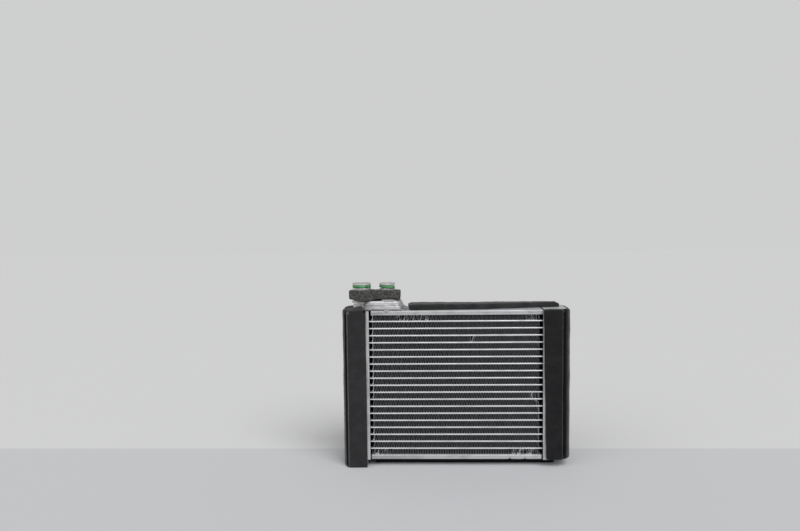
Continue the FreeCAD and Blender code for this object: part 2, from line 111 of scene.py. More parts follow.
class MixSocket(IntEnum):
    """The Mix node's sockets for colours."""

    MASK = 0
    FIRST = 6
    SECOND = 7
    RESULT = 2


class Graph:
    """The node tree of one finish, round a single Principled shader."""

    def __init__(self, name: str) -> None:
        """Starts a material of that name."""
        self.material = bpy.data.materials.new(name)
        self.material.use_nodes = True
        self.nodes = self.material.node_tree.nodes
        self.links = self.material.node_tree.links
        self.shader = self.nodes["Principled BSDF"]

    def node(self, kind: str, settings: dict, values: dict, output: int | str = 0) -> Signal:
        """Adds one node.

        Args:
            kind: The node's type.
            settings: Its own settings, set before its sockets.
            values: A value or a signal for each socket, by the socket's name or number.
            output: The output socket that is wanted.

        Returns:
            The signal of that output.
        """
        node = self.nodes.new(kind)
        for name, setting in settings.items():
            setattr(node, name, setting)
        for key, value in values.items():
            self.join(value, node.inputs[key])
        return Signal(self, node.outputs[output])

    def join(self, value: Value, socket: bpy.types.NodeSocket) -> None:
        """Links a signal to a socket, or sets the socket's own value."""
        if isinstance(value, Signal):
            self.links.new(value.socket, socket)
        elif socket.type == "RGBA":
            socket.default_value = (*value, 1.0)
        else:
            socket.default_value = value

    def place(self, stretch: Point = (1.0, 1.0, 1.0)) -> Signal:
        """The point's place on the part, stretched along each axis."""
        place = self.node("ShaderNodeTexCoord", {}, {}, "Object")
        return self.node("ShaderNodeMapping", {}, {"Vector": place, "Scale": stretch})

    def along(self, axis: str) -> Signal:
        """The point's place along one axis, in metres."""
        place = self.node("ShaderNodeTexCoord", {}, {}, "Object")
        return self.node("ShaderNodeSeparateXYZ", {}, {"Vector": place}, axis)

    def grain(self, scale: float, detail: float = 3.0, stretch: Point = (1.0, 1.0, 1.0)) -> Signal:
        """Noise of a number of waves for each metre."""
        values = {"Vector": self.place(stretch), "Scale": scale, "Detail": detail}
        return self.node("ShaderNodeTexNoise", {}, values, "Fac")

    def cells(self, scale: float) -> Signal:
        """The distance to the middle of the nearest cell."""
        return self.node("ShaderNodeTexVoronoi", {}, {"Vector": self.place(), "Scale": scale}, "Distance")

    def turned_away(self) -> Signal:
        """How far the surface turns away from the eye, from 0 to 1."""
        return self.node("ShaderNodeLayerWeight", {}, {"Blend": 0.5}, "Facing")

    def attribute(self, name: str) -> Signal:
        """A number kept at the points of the mesh."""
        return self.node("ShaderNodeAttribute", {"attribute_name": name}, {}, "Fac")

    def blend(self, mask: Value, first: Value, second: Value) -> Signal:
        """The first colour where the mask is 0, and the second where it is 1."""
        values = {MixSocket.MASK: mask, MixSocket.FIRST: first, MixSocket.SECOND: second}
        return self.node("ShaderNodeMix", {"data_type": "RGBA"}, values, MixSocket.RESULT)

    def relief(self, height: Signal, depth: float, strength: float = 1.0) -> None:
        """Feeds the normal with a height, whose range stands for a depth in millimetres."""
        values = {"Height": height, "Distance": depth * MM, "Strength": strength}
        self.feed("Normal", self.node("ShaderNodeBump", {}, values))

    def feed(self, name: str, value: Value) -> None:
        """Sets or links a socket of the Principled shader."""
        self.join(value, self.shader.inputs[name])


# Finishes


def dimmed(colour: Colour, share: float) -> Colour:
    """A share of a colour's light."""
    return tuple(share * part for part in colour)


@dataclass(frozen=True)
class Finish:
    """A named finish. Each kind paints its own nodes."""

    name: str

    def paint(self, graph: Graph) -> None:
        """Builds the finish's nodes."""
        raise NotImplementedError

    def material(self) -> bpy.types.Material:
        """The finish's material, which is built once."""
        found = bpy.data.materials.get(self.name)
        if found is None:
            graph = Graph(self.name)
            self.paint(graph)
            found = graph.material
        return found


@dataclass(frozen=True)
class BrazedSheet(Finish):
    """Brazed aluminium: pale, with cloudy flux stains and fine pits, and painted shade behind a given half
    depth.
    """

    colour: Colour = (0.70, 0.71, 0.72)
    stain: Colour = (0.46, 0.47, 0.48)
    metal: float = 0.75
    roughness: float = 0.42
    stretch: Point = (0.35, 1.0, 1.0)
    # Half depth behind which the metal is painted near black, matt and not metallic: painted shade. 0 paints
    # none.
    painted_shade_half: float = 0.0

    def paint(self, graph: Graph) -> None:
        """Lays flux clouds and drawn streaks over bare metal, and paints shade behind the half depth."""
        clouds = graph.grain(170.0, 4.0, self.stretch).between(0.42, 0.68)
        pits = graph.grain(2600.0, 2.0)
        streaks = graph.grain(900.0, 2.0, (0.06, 1.0, 1.0))
        colour = graph.blend(clouds, self.colour, self.stain)
        colour = graph.blend(pits.between(0.58, 0.74) * 0.6, colour, dimmed(self.stain, 0.6))
        metal, roughness = self.metal, self.roughness + clouds * 0.12 + streaks * 0.10
        # Painted shade: nearer the middle plane than the half depth, the colour turns near black, the metal
        # goes and the roughness rises.
        if self.painted_shade_half:
            outer = graph.along("Y").size().between(self.painted_shade_half - 0.0002, self.painted_shade_half)
            colour = graph.blend(outer, dimmed(self.stain, 0.03), colour)
            metal, roughness = outer * metal, 1.0 - outer * (1.0 - roughness)
        graph.feed("Base Color", colour)
        graph.feed("Metallic", metal)
        graph.feed("Roughness", roughness)
        graph.relief(pits * 0.5 + streaks * 0.5, 0.06, 0.6)


@dataclass(frozen=True)
class FinFoil(Finish):
    """Fin foil with a grey cut edge and bright joints; behind its cut edges and on the edge next to the tubes
    it is painted near black as painted shade, and bent and end fins are painted bright as scuffs with painted
    highlight.
    """

    colour: Colour = (0.008, 0.008, 0.009)
    edge: Colour = (0.26, 0.265, 0.275)
    # Painted shade on the cut edge next to the tubes.
    shade: Colour = (0.009, 0.009, 0.010)
    braze: Colour = (0.58, 0.59, 0.61)
    # Bare foil colour painted on bent and end fins: scuffs with painted highlight.
    bare: Colour = (0.78, 0.79, 0.82)
    half_depth: float = 0.017
    foot: float = 0.0115
    pitch: float = 0.007
    half_height: float = 0.00265

    def paint(self, graph: Graph) -> None:
        """Paints shade on the foil behind its cut edges and on the edge next to the tubes, and paints bent
        and end fins bright bare foil, scuffs with painted highlight.
        """
        clouds = graph.grain(120.0, 3.0, (1.0, 0.3, 1.0)).between(0.40, 0.66)
        height = (graph.along("Z") - self.foot + 0.00001).wrapped(self.pitch)
        off_middle = (height - self.half_height).size()
        # Painted shade: the cut edge turns near black close to the tubes, short of the braze.
        edge = graph.blend(off_middle.between(0.0013, 0.0018), self.edge, self.shade)
        edge = graph.blend(off_middle.between(0.00215, 0.00235), edge, self.braze)
        # Painted shade: behind its cut edges the foil is painted near black, for the shade deep in the fin
        # pack.
        inside = (self.half_depth - graph.along("Y").size()).between(0.00004, 0.0005)
        body = graph.blend(clouds, self.colour, dimmed(self.colour, 0.6))
        # Scuffs with painted highlight: bent and end fins turn bright bare foil.
        scuffed = graph.attribute("scuffed") * (graph.grain(1000.0, 2.0) * 1.4 + 0.42)
        colour = graph.blend(scuffed.between(0.72, 0.98), graph.blend(inside, edge, body), self.bare)
        graph.feed("Base Color", colour)
        graph.feed("Metallic", 0.3)
        graph.feed("Roughness", 0.46 + clouds * 0.2)


@dataclass(frozen=True)
class TurnedMetal(Finish):
    """Machined aluminium with the fine rings that a lathe leaves."""

    colour: Colour = (0.74, 0.73, 0.72)

    def paint(self, graph: Graph) -> None:
        """Rings the metal and dulls it in patches."""
        rings = graph.grain(500.0, 2.0, (0.02, 0.02, 14.0))
        clouds = graph.grain(260.0, 3.0).between(0.42, 0.7)
        graph.feed("Base Color", graph.blend(clouds, self.colour, dimmed(self.colour, 0.72)))
        graph.feed("Metallic", 0.85)
        graph.feed("Roughness", 0.24 + clouds * 0.16 + rings * 0.12)
        graph.relief(rings, 0.03, 0.6)


@dataclass(frozen=True)
class SealRubber(Finish):
    """Oiled green rubber, faintly mottled."""

    colour: Colour = (0.035, 0.20, 0.055)
    light: Colour = (0.08, 0.33, 0.12)

    def paint(self, graph: Graph) -> None:
        """Mottles the green and gives it an oily coat."""
        clouds = graph.grain(380.0, 3.0).between(0.4, 0.66)
        graph.feed("Base Color", graph.blend(clouds, self.colour, self.light))
        graph.feed("Roughness", 0.34 + clouds * 0.2)
        graph.feed("Coat Weight", 0.25)
        graph.relief(graph.grain(4200.0, 2.0), 0.03, 0.5)


@dataclass(frozen=True)
class OpenFoam(Finish):
    """Open-cell foam: dark pores between pale worn cell walls."""

    wall: Colour = (0.098, 0.096, 0.091)
    pore: Colour = (0.012, 0.012, 0.012)

    def paint(self, graph: Graph) -> None:
        """Sinks dark pores of two sizes into the foam."""
        large = graph.cells(720.0).between(0.10, 0.55)
        small = graph.cells(1900.0).between(0.12, 0.6)
        coarse = graph.grain(800.0, 3.0).between(0.38, 0.62)
        walls = large * 0.55 + small * 0.45
        mask = (coarse * 0.62 + walls * 0.48).between(0.12, 1.15)
        graph.feed("Base Color", graph.blend(mask, self.pore, self.wall))
        graph.feed("Roughness", 0.92)
        graph.relief(walls, 0.55, 0.9)


@dataclass(frozen=True)
class SkinnedFoam(Finish):
    """Black closed-cell foam with a thin skin, worn edges with painted highlights, a painted grazing sheen
    and painted shade in hollows.
    """

    colour: Colour = (0.024, 0.024, 0.026)
    dust: Colour = (0.050, 0.050, 0.052)
    # The colour of worn edges and of painted highlights on the pad's edge and creases.
    rubbed_and_lit: Colour = (0.15, 0.15, 0.15)
    settled: Colour = (0.046, 0.046, 0.046)
    # A painted sheen where the surface turns away from the eye.
    rim_highlight: Colour = (0.110, 0.110, 0.112)
    roughness: float = 0.62
    sheen: float = 0.12

    def paint(self, graph: Graph) -> None:
        """Lays dust, worn edges with painted highlights, a painted grazing sheen, painted shade in hollows
        and a fine cell grain over the skin.
        """
        clouds = graph.grain(95.0, 4.0).between(0.36, 0.72)
        skin = graph.blend(clouds, self.colour, self.dust)
        cells = graph.cells(1500.0)
        # Worn edges and painted highlights, from the kept attribute.
        rub = graph.attribute("rub") * (graph.grain(520.0, 2.0) + 0.45)
        worn = graph.blend(rub.between(0.12, 0.85), skin, self.rubbed_and_lit)
        dusty_and_lit = graph.blend(graph.attribute("dust") * (clouds * 0.5 + 0.5), worn, self.settled)
        # Painted shade in creases, grooves and hollows: the colour turns near black there.
        hollow = graph.attribute("hollow").between(0.05, 0.45)
        # Painted sheen: lighter where the surface turns away from the eye, less where it faces up.
        grazing_sheen = graph.turned_away().between(0.30, 0.95) * (1.0 - graph.attribute("dust"))
        dusty_and_lit = graph.blend(grazing_sheen, dusty_and_lit, self.rim_highlight)
        graph.feed("Base Color", graph.blend(hollow, dusty_and_lit, dimmed(self.colour, 0.12)))
        graph.feed("Roughness", self.roughness + clouds * 0.12)
        graph.feed("Specular IOR Level", 0.18)
        graph.feed("Sheen Weight", self.sheen)
        graph.feed("Sheen Roughness", 0.35)
        graph.relief(cells * 0.6 + graph.grain(3400.0, 2.0) * 0.4, 0.12, 0.7)


@dataclass(frozen=True)
class FloorPaint(Finish):
    """The pale floor, a little lighter behind the part."""

    near: Colour = (0.545, 0.550, 0.565)
    far: Colour = (0.625, 0.627, 0.630)
    change: float = 0.034

    def paint(self, graph: Graph) -> None:
        """Changes the tone along a line behind the part."""
        beyond = graph.along("Y").between(self.change - 0.002, self.change + 0.003)
        graph.feed("Base Color", graph.blend(beyond, self.near, self.far))
        graph.feed("Roughness", 0.85)
        graph.feed("Specular IOR Level", 0.15)


# The tubes are painted shade behind their rounded fronts, and the header plates on their faces in the gaps
# beside the fins.
TUBE_METAL = BrazedSheet("tube_metal", (0.90, 0.91, 0.92), (0.72, 0.73, 0.74), 0.7, 0.34, painted_shade_half=0.01743)
PLATE_METAL = BrazedSheet("plate_metal", (0.62, 0.63, 0.64), (0.45, 0.46, 0.47), 0.7, 0.44)
COVER_METAL = BrazedSheet("cover_metal", (0.66, 0.67, 0.68), (0.48, 0.49, 0.50), 0.7, 0.42, (1.0, 1.0, 0.3))
HEADER_METAL = replace(COVER_METAL, name="header_metal", painted_shade_half=0.0196)
DOME_METAL = BrazedSheet("dome_metal", (0.48, 0.48, 0.49), (0.26, 0.26, 0.27), 0.75, 0.42)
FIN_FOIL = FinFoil("fin_foil")
PIPE_METAL = TurnedMetal("pipe_metal")
RING_RUBBER = SealRubber("ring_rubber")
GASKET_FOAM = OpenFoam("gasket_foam")
LEFT_SKIN = SkinnedFoam("left_foam_skin", (0.020, 0.020, 0.021), (0.028, 0.028, 0.030))
RIGHT_SKIN = SkinnedFoam("right_foam_skin", (0.008, 0.008, 0.009), (0.013, 0.013, 0.014), roughness=0.54)
STRIP_SKIN = SkinnedFoam(
    "strip_foam_skin",
    (0.018, 0.018, 0.019),
    (0.030, 0.030, 0.031),
    rubbed_and_lit=(0.14, 0.14, 0.135),
    settled=(0.070, 0.070, 0.069),
)
FOOT_SKIN = SkinnedFoam("foot_foam_skin", (0.008, 0.008, 0.009), (0.014, 0.014, 0.015), (0.03, 0.03, 0.03))


# Modelling


class Kind(Enum):
    """The kinds of mesh element, and where the mesh keeps them."""

    VERT = "verts"
    EDGE = "edges"
    FACE = "faces"


class Axis(Enum):
    """The axes, as unit vectors."""

    X = (1.0, 0.0, 0.0)
    Y = (0.0, 1.0, 0.0)
    Z = (0.0, 0.0, 1.0)


Test = Callable[[Vector, Vector], bool]
WearAndLight = Callable[[Vector], tuple[float, float]]


def millimetres(values: Point) -> Vector:
    """A vector in metres from one in millimetres."""
    return Vector(values) * MM


def smooth_fall(distance: float, reach: float) -> float:
    """1 at no distance, and 0 from the reach on."""
    share = min(1.0, max(0.0, 1.0 - distance / reach))
    return share * share * (3.0 - 2.0 * share)


def distance_to_run(place: Vector, run: Run) -> float:
    """The distance from a place to the line between two points."""
    start, end = map(Vector, run)
    way = end - start
    share = min(1.0, max(0.0, (place - start).dot(way) / way.length_squared))
    return (place - start - way * share).length


def start_fresh() -> None:
    """Leaves edit mode and deselects everything."""
    if bpy.context.mode != "OBJECT":
        bpy.ops.object.mode_set(mode="OBJECT")
    bpy.ops.object.select_all(action="DESELECT")


class Workpiece:
    """One mesh and the tools that shape it, in millimetres."""

    def __init__(self, thing: bpy.types.Object) -> None:
        """Takes up an object that holds a mesh."""
        self.thing = thing

    @classmethod
    def added(cls, name: str) -> Self:
        """Takes up the primitive that was just added."""
        thing = bpy.context.object
        thing.name = thing.data.name = name
        bpy.ops.object.transform_apply(location=True, rotation=True, scale=True)
        return cls(thing)

    @classmethod
    def block(cls, name: str, low: Point, high: Point) -> Self:
        """A block between two corners.

        Args:
            name: The piece's name.
            low: The lowest corner.
            high: The highest corner.

        Returns:
            The new piece.
        """
        start_fresh()
        low, high = millimetres(low), millimetres(high)
        bpy.ops.mesh.primitive_cube_add(size=1.0, location=(low + high) / 2, scale=high - low)
        return cls.added(name)

    @classmethod
    def drum(cls, name: str, x: float, radius: float, low: float, high: float, sides: int = 64) -> Self:
        """An upright drum on the middle plane of the part.

        Args:
            name: The piece's name.
            x: The place of its axis along the part.
            radius: Its radius.
            low: The level of its foot.
            high: The level of its head.
            sides: The number of its sides.

        Returns:
            The new piece.
        """
        start_fresh()
        middle, height = millimetres((x, 0.0, (low + high) / 2)), (high - low) * MM
        bpy.ops.mesh.primitive_cylinder_add(vertices=sides, radius=radius * MM, depth=height, location=middle)
        return cls.added(name)

    def take_up(self) -> None:
        """Selects this piece alone."""
        start_fresh()
        self.thing.select_set(True)
        bpy.context.view_layer.objects.active = self.thing

    def open(self) -> None:
        """Goes into edit mode on this piece."""
        if bpy.context.object is not self.thing or bpy.context.mode != "EDIT_MESH":
            self.take_up()
            bpy.ops.object.mode_set(mode="EDIT")

    def close(self) -> Self:
        """Leaves edit mode."""
        start_fresh()
        return self

    def pick(self, kind: Kind, test: Test) -> Self:
        """Selects the elements that pass a test.

        Args:
            kind: Which elements are tested.
            test: Takes an element's middle, in millimetres, and its normal.

        Returns:
            This piece.
        """
        self.open()
        bpy.ops.mesh.select_mode(type=kind.name)
        bpy.ops.mesh.select_all(action="DESELECT")
        mesh = bmesh.from_edit_mesh(self.thing.data)
        mesh.normal_update()
        for element in getattr(mesh, kind.value):
            if kind is Kind.VERT:
                middle, normal = element.co, element.normal
            elif kind is Kind.EDGE:
                middle = (element.verts[0].co + element.verts[1].co) / 2
                normal = sum((face.normal for face in element.link_faces), Vector()).normalized()
            else:
                middle, normal = element.calc_center_median(), element.normal
            element.select_set(test(middle / MM, normal))
        mesh.select_flush_mode()
        bmesh.update_edit_mesh(self.thing.data)
        return self

    def pick_all(self) -> Self:
        """Selects the whole mesh."""
        self.open()
        bpy.ops.mesh.select_all(action="SELECT")
        return self

    def extrude(self, move: Point) -> Self:
        """Draws the picked faces or edges out."""
        bpy.ops.mesh.extrude_region_move(TRANSFORM_OT_translate={"value": millimetres(move)})
        return self

    def push(self, move: Point) -> Self:
        """Moves what is picked."""
        bpy.ops.transform.translate(value=millimetres(move))
        return self

    def resize(self, factors: Point, about: Point) -> Self:
        """Scales what is picked about a point."""
        bpy.ops.transform.resize(value=factors, center_override=millimetres(about))
        return self

    def turn(self, degrees: float, axis: Axis, about: Point) -> Self:
        """Turns what is picked about a point, by the right-hand rule."""
        bpy.ops.transform.rotate(
            value=-math.radians(degrees),
            orient_axis=axis.name,
            orient_type="GLOBAL",
            center_override=millimetres(about),
        )
        return self

    def bevel(self, width: float, segments: int) -> Self:
        """Rounds the picked edges."""
        bpy.ops.mesh.bevel(offset=width * MM, segments=segments, affect="EDGES", profile=0.5)
        return self

    def slice(self, axis: Axis, *levels: float) -> Self:
        """Cuts edges all round the mesh at levels along an axis."""
        normal = Vector(axis.value)
        for level in levels:
            self.pick_all()
            bpy.ops.mesh.bisect(plane_co=normal * level * MM, plane_no=normal)
        return self

    def modify(self, kind: str, **settings: object) -> Self:
        """Adds a modifier, and applies it."""
        self.take_up()
        modifier = self.thing.modifiers.new(kind.title(), kind)
        for name, setting in settings.items():
            setattr(modifier, name, setting)
        bpy.ops.object.modifier_apply(modifier=modifier.name)
        return self

    def round_edges(self, width: float, segments: int = 2, angle: float = 35.0) -> Self:
        """Rounds every edge that is sharper than an angle."""
        settings = {"width": width * MM, "segments": segments, "angle_limit": math.radians(angle)}
        return self.modify("BEVEL", limit_method="ANGLE", **settings)

    def cut_away(self, *cutters: "Workpiece") -> Self:
        """Takes other pieces out of this one, and removes them."""
        for cutter in cutters:
            cutter.close()
            self.modify("BOOLEAN", operation="DIFFERENCE", solver="EXACT", object=cutter.thing)
            bpy.data.objects.remove(cutter.thing)
        return self

    def remesh(self, cell: float) -> Self:
        """Lays an even mesh over the shape."""
        return self.modify("REMESH", mode="VOXEL", voxel_size=cell * MM)

    def soften(self, rounds: int) -> Self:
        """Rounds the edges of an even mesh, round by round."""
        self.pick_all()
        bpy.ops.mesh.vertices_smooth(factor=0.5, repeat=rounds)
        return self.close()

    def reshape(self, move: Callable[[Vector, Vector], Vector]) -> Self:
        """Moves each point by what a function gives for its place and normal."""
        self.close()
        mesh = self.thing.data
        moves = [move(vertex.co / MM, vertex.normal) for vertex in mesh.vertices]
        for vertex, offset in zip(mesh.vertices, moves):
            vertex.co += offset * MM
        mesh.update()
        return self

    def roughen(self, waves: float, height: float, seed: float = 0.0) -> Self:
        """Moves the surface in and out by noise.

        Args:
            waves: The length of a wave.
            height: How far the surface moves at most.
            seed: Where in the noise this piece lies.

        Returns:
            This piece.
        """
        offset = Vector((seed, -seed, seed * 0.5))
        return self.reshape(lambda place, normal: normal * height * noise.noise(place / waves + offset))

    def crease(self, run: Run, width: float, depth: float) -> Self:
        """Presses a groove into the surface.

        Args:
            run: Where the groove starts and ends.
            width: How far its sides reach.
            depth: How deep it is.

        Returns:
            This piece.
        """
        return self.reshape(
            lambda place, normal: normal * (-depth * smooth_fall(distance_to_run(place, run), width))
        )

    def keep(self, name: str, values: Sequence[float]) -> None:
        """Keeps a number at each point of the mesh, for the finish."""
        layer = self.thing.data.attributes.new(name, "FLOAT", "POINT")
        layer.data.foreach_set("value", values)

    def mark_wear_and_light(self, gain: float, extra: WearAndLight = lambda place: (0.0, 0.0)) -> Self:
        """Keeps each point's worn edge with painted highlight on ridges, its painted shade in hollows, and
        how far it faces up.

        Args:
            gain: How strongly the form's own ridges and hollows count.
            extra: Gives more rubbing with painted highlight, and more painted shade, for a place in
                millimetres.

        Returns:
            This piece.
        """
        self.close()
        source = bmesh.new()
        source.from_mesh(self.thing.data)
        source.normal_update()
        amounts = []
        for vertex in source.verts:
            middle = sum((edge.other_vert(vertex).co for edge in vertex.link_edges), Vector())
            middle /= max(1, len(vertex.link_edges))
            amounts.append((vertex.co - middle).dot(vertex.normal) / MM * gain)
        for _ in range(2):
            amounts = [
                (amounts[vertex.index] + sum(amounts[e.other_vert(vertex).index] for e in vertex.link_edges))
                / (1 + len(vertex.link_edges))
                for vertex in source.verts
            ]
        source.free()
        extras = [extra(vertex.co / MM) for vertex in self.thing.data.vertices]
        # Ridges keep worn edges with painted highlight, hollows keep painted shade.
        for index, (name, sign) in enumerate((("rub", 1.0), ("hollow", -1.0))):
            values = [max(0.0, sign * amount) + more[index] for amount, more in zip(amounts, extras)]
            self.keep(name, [min(1.0, value) for value in values])
        self.keep("dust", [max(0.0, vertex.normal.z) for vertex in self.thing.data.vertices])
        return self

    def smooth(self, angle: float = 35.0) -> Self:
        """Shades the piece smooth, except across sharp edges."""
        self.take_up()
        bpy.ops.object.shade_smooth_by_angle(angle=math.radians(angle))
        return self

    def join(self, *others: "Workpiece") -> Self:
        """Joins other pieces into this one."""
        self.take_up()
        for piece in others:
            piece.thing.select_set(True)
        bpy.ops.object.join()
        return self

    def copy(self, name: str, move: Point) -> Self:
        """A copy with its own mesh, moved."""
        self.close()
        thing = self.thing.copy()
        thing.data = self.thing.data.copy()
        thing.name = thing.data.name = name
        thing.data.transform(Matrix.Translation(millimetres(move)))
        bpy.context.scene.collection.objects.link(thing)
        return Workpiece(thing)

    def dress(self, finish: Finish, slot: str, *nodes: str) -> Self:
        """Gives the piece its finish, parents it to the root and hides the CAD nodes that it replaces.

        Args:
            finish: The finish.
            slot: Not used.
            nodes: The CAD nodes that the piece replaces.

        Returns:
            This piece.
        """
        self.close()
        self.thing.data.materials.clear()
        self.thing.data.materials.append(finish.material())
        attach(self.thing, "root")
        if nodes:
            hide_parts(*nodes)
        log.info("%s: %d faces", self.thing.name, len(self.thing.data.polygons))
        return self

    def dress_foam(self, finish: Finish, slot: str, node: str, fill: float) -> None:
        """Shades a soft piece smooth, and dresses it."""
        self.smooth(angle=80.0).dress(finish, slot, node).thing


def repaint(finish: Finish, *nodes: str) -> None:
    """Gives CAD nodes that stay as they are a finish."""
    for node in nodes:
        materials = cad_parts[node].data.materials
        materials.clear()
        materials.append(finish.material())


def box(node: str) -> tuple[Vector, Vector]:
    """A CAD node's lowest and highest corners, in millimetres."""
    low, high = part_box(node)
    return low / MM, high / MM


# The core


@dataclass
class TubeBank:
    """The flat tubes, each with round front and rear edges."""

    count: int = 19
    edge_share: float = 0.49
    edge_segments: int = 5

    def build(self) -> None:
        """Models the first tube and copies it up the core."""
        low, high = box("tube_01")
        tube = Workpiece.block("flat_tube_01", low, high)
        tube.pick(Kind.EDGE, lambda middle, normal: abs(middle.x) < 1.0)
        tube.bevel((high.z - low.z) * self.edge_share, self.edge_segments).smooth()
        for number in range(2, self.count + 1):
            node = f"tube_{number:02d}"
            rise = box(node)[0].z - low.z
            tube.copy(f"flat_{node}", (0.0, 0.0, rise)).dress(TUBE_METAL, "tube_aluminium", node)
        tube.dress(TUBE_METAL, "tube_aluminium", "tube_01")


@dataclass(frozen=True)
class BentPatch:
    """A patch of bent fins, all in millimetres.

    Attributes:
        row: The number of the row, from the bottom.
        start: Where the patch starts along the part.
        end: Where it ends.
        lean: How far the fins' heads lean over their feet.
        scatter: How far single fins stray.
        bulge: How far the fins' fronts are pressed back.
    """

    row: int
    start: float
    end: float
    lean: float = 0.0
    scatter: float = 0.5
    bulge: float = 0.0


@dataclass
class FinBank:
    """The folded and louvred fins between the tubes."""

    rows: int = 20
    waves: int = 65
    foil: float = 0.16
    louvres: int = 3
    louvre_angle: float = 24.0
    edge_strip: float = 5.0
    crest_half: float = 0.58
    crest_rise: float = 0.62
    joint: float = 0.42
    fold: float = 1.6
    right_gap: float = 0.8
    ends: Sequence[tuple[float, float]] = ((-80.8, -80.6), (80.5, 80.7))
    # Where the row ends are painted bright, and in how many rows at the right: painted highlight on the last
    # fin legs.
    highlight_from: float = 80.3
    highlight_rows: int = 9
    slat_half: float = 1.25
    bent_depth: float = 6.0
    # How deep and how bright bent fins and row ends are painted: scuffs with painted highlight.
    highlight_depth: float = 1.0
    bent_highlight: float = 0.72
    end_highlight: float = 0.78
    covered_highlight: float = 0.40
    patches: Sequence[BentPatch] = ()

    def build(self) -> None:
        """Models one row, copies it up the core and bends the patches."""
        low, high = box("fin_01")
        row = self.model_row(low, high)
        for number in range(self.rows, 0, -1):
            node = f"fin_{number:02d}"
            rise = box(node)[0].z - low.z
            piece = row.copy(f"folded_{node}", (0.0, 0.0, rise)) if number > 1 else row
            for patch in self.patches:
                if patch.row == number:
                    self.bend(piece, patch, low + Vector((0.0, 0.0, rise)), high.z - low.z)
            self.mark_scuffs_and_highlights(piece, number, low.y + self.highlight_depth)
            piece.dress(FIN_FOIL, "fin_aluminium", node)

    def model_row(self, low: Vector, high: Vector) -> Workpiece:
        """Models the waves of one row.

        Args:
            low: The row's lowest corner.
            high: The row's highest corner.

        Returns:
            The row.
        """
        wave = (high.x - self.right_gap - low.x - 2.0 * self.crest_half) / self.waves
        foot, head = low.x + self.crest_half, low.x + self.crest_half + wave / 2
        lower = self.model_crest(foot, low.z, low.y, 1.0)
        upper = self.model_crest(head, high.z, low.y, -1.0)
        rising = self.model_leg(foot + self.crest_half, head - self.crest_half, low, high, 1.0)
        falling = self.model_leg(foot + wave - self.crest_half, head + self.crest_half, low, high, -1.0)
        row = lower.join(upper, rising, falling).modify(
            "ARRAY",
            count=self.waves,
            use_relative_offset=False,
            use_constant_offset=True,
            constant_offset_displace=(wave * MM, 0.0, 0.0),
        )
        for left, right in self.ends:
            row.join(Workpiece.block("end_sheet", (left, low.y, low.z), (right, -low.y, high.z)))
        row.thing.name = row.thing.data.name = "folded_fin_01"
        return row

    def mark_scuffs_and_highlights(self, row: Workpiece, number: int, depth: float) -> None:
        """Keeps how bright the bent and the outermost foil is painted, in front of a depth: scuffs with
        painted highlight.
        """
        patches = [patch for patch in self.patches if patch.row == number]

        def scuffed(place: Vector) -> float:
            """How bright a point's foil is painted, with noise that breaks it into flecks."""
            if place.y > depth:
                return 0.0
            if any(patch.start <= place.x <= patch.end for patch in patches):
                return self.bent_highlight + 0.9 * noise.noise(Vector((place.x * 0.55, number * 2.3, 0.0)))
            if abs(place.x) < self.highlight_from:
                return 0.0
            side = math.copysign(1.0, place.x)
            open_end = side < 0.0 or number <= self.highlight_rows
            highlight_share = self.end_highlight if open_end else self.covered_highlight
            return highlight_share + 0.5 * noise.noise(Vector((number * 0.83, 7.7, side)))

        row.close().keep("scuffed", [scuffed(vertex.co / MM) for vertex in row.thing.data.vertices])

    def model_crest(self, x: float, level: float, front: float, side: float) -> Workpiece:
        """Models a bend that touches a tube. Side 1 is for the lower bends."""
        levels = sorted((level, level + side * self.joint))
        flat = self.crest_half * 0.7
        crest = Workpiece.block("crest", (x - flat, front, levels[0]), (x + flat, -front, levels[1]))
        for way in (-1, 1):
            crest.pick(Kind.FACE, lambda place, normal: normal.x * way > 0.9)
            crest.extrude((way * (self.crest_half - flat), 0.0, side * self.crest_rise))
        return crest.close()

    def model_leg(self, foot: float, head: float, low: Vector, high: Vector, way: float) -> Workpiece:
        """Models one leg: a front strip, open louvres and a rear strip.

        Args:
            foot: The place of its foot along the part.
            head: The place of its head.
            low: The row's lowest corner.
            high: The row's highest corner.
            way: 1 or -1, the way in which the louvres turn.

        Returns:
            The leg.
        """
        reach = -low.y - self.edge_strip
        pitch = 2.0 * reach / self.louvres
        spans = [(low.y, -reach, 0.0), (reach, -low.y, 0.0)]
        for number in range(self.louvres):
            middle = -reach + (number + 0.5) * pitch
            spans.append((middle - self.slat_half, middle + self.slat_half, self.louvre_angle * way))
        feet, heads = low.z + self.crest_rise, high.z - self.crest_rise
        slats = []
        for front, rear, angle in spans:
            corners = (foot - self.foil / 2, front, feet), (foot + self.foil / 2, rear, heads)
            slat = Workpiece.block("slat", *corners)
            slat.pick_all().turn(angle, Axis.Z, (foot, (front + rear) / 2, 0.0))
            slat.pick(Kind.VERT, lambda place, normal: place.z > heads - 0.1)
            slat.push((head - foot, 0.0, 0.0))
            slats.append(slat.close())
        return slats[0].join(*slats[1:])

    def bend(self, row: Workpiece, patch: BentPatch, low: Vector, height: float) -> None:
        """Bends the fronts of a patch of fins."""
        rear = low.y + self.bent_depth

        def move(place: Vector, normal: Vector) -> Vector:
            """How far a point moves: most at the front, and nothing behind the bent depth."""
            if not patch.start <= place.x <= patch.end or place.y > rear:
                return Vector()
            share = (place.z - low.z) / height
            forward = min(1.0, (rear - place.y) / self.bent_depth)
            stray = noise.noise(Vector((place.x * 0.8, patch.row * 3.7, 0.0))) * patch.scatter
            fold = self.fold * noise.noise(Vector((place.x * 0.37, patch.row * 1.9, 5.0)))
            shift = patch.lean * (share - 0.5) + stray + fold
            return Vector((shift * forward, patch.bulge * abs(stray), 0.0))

        row.reshape(move)


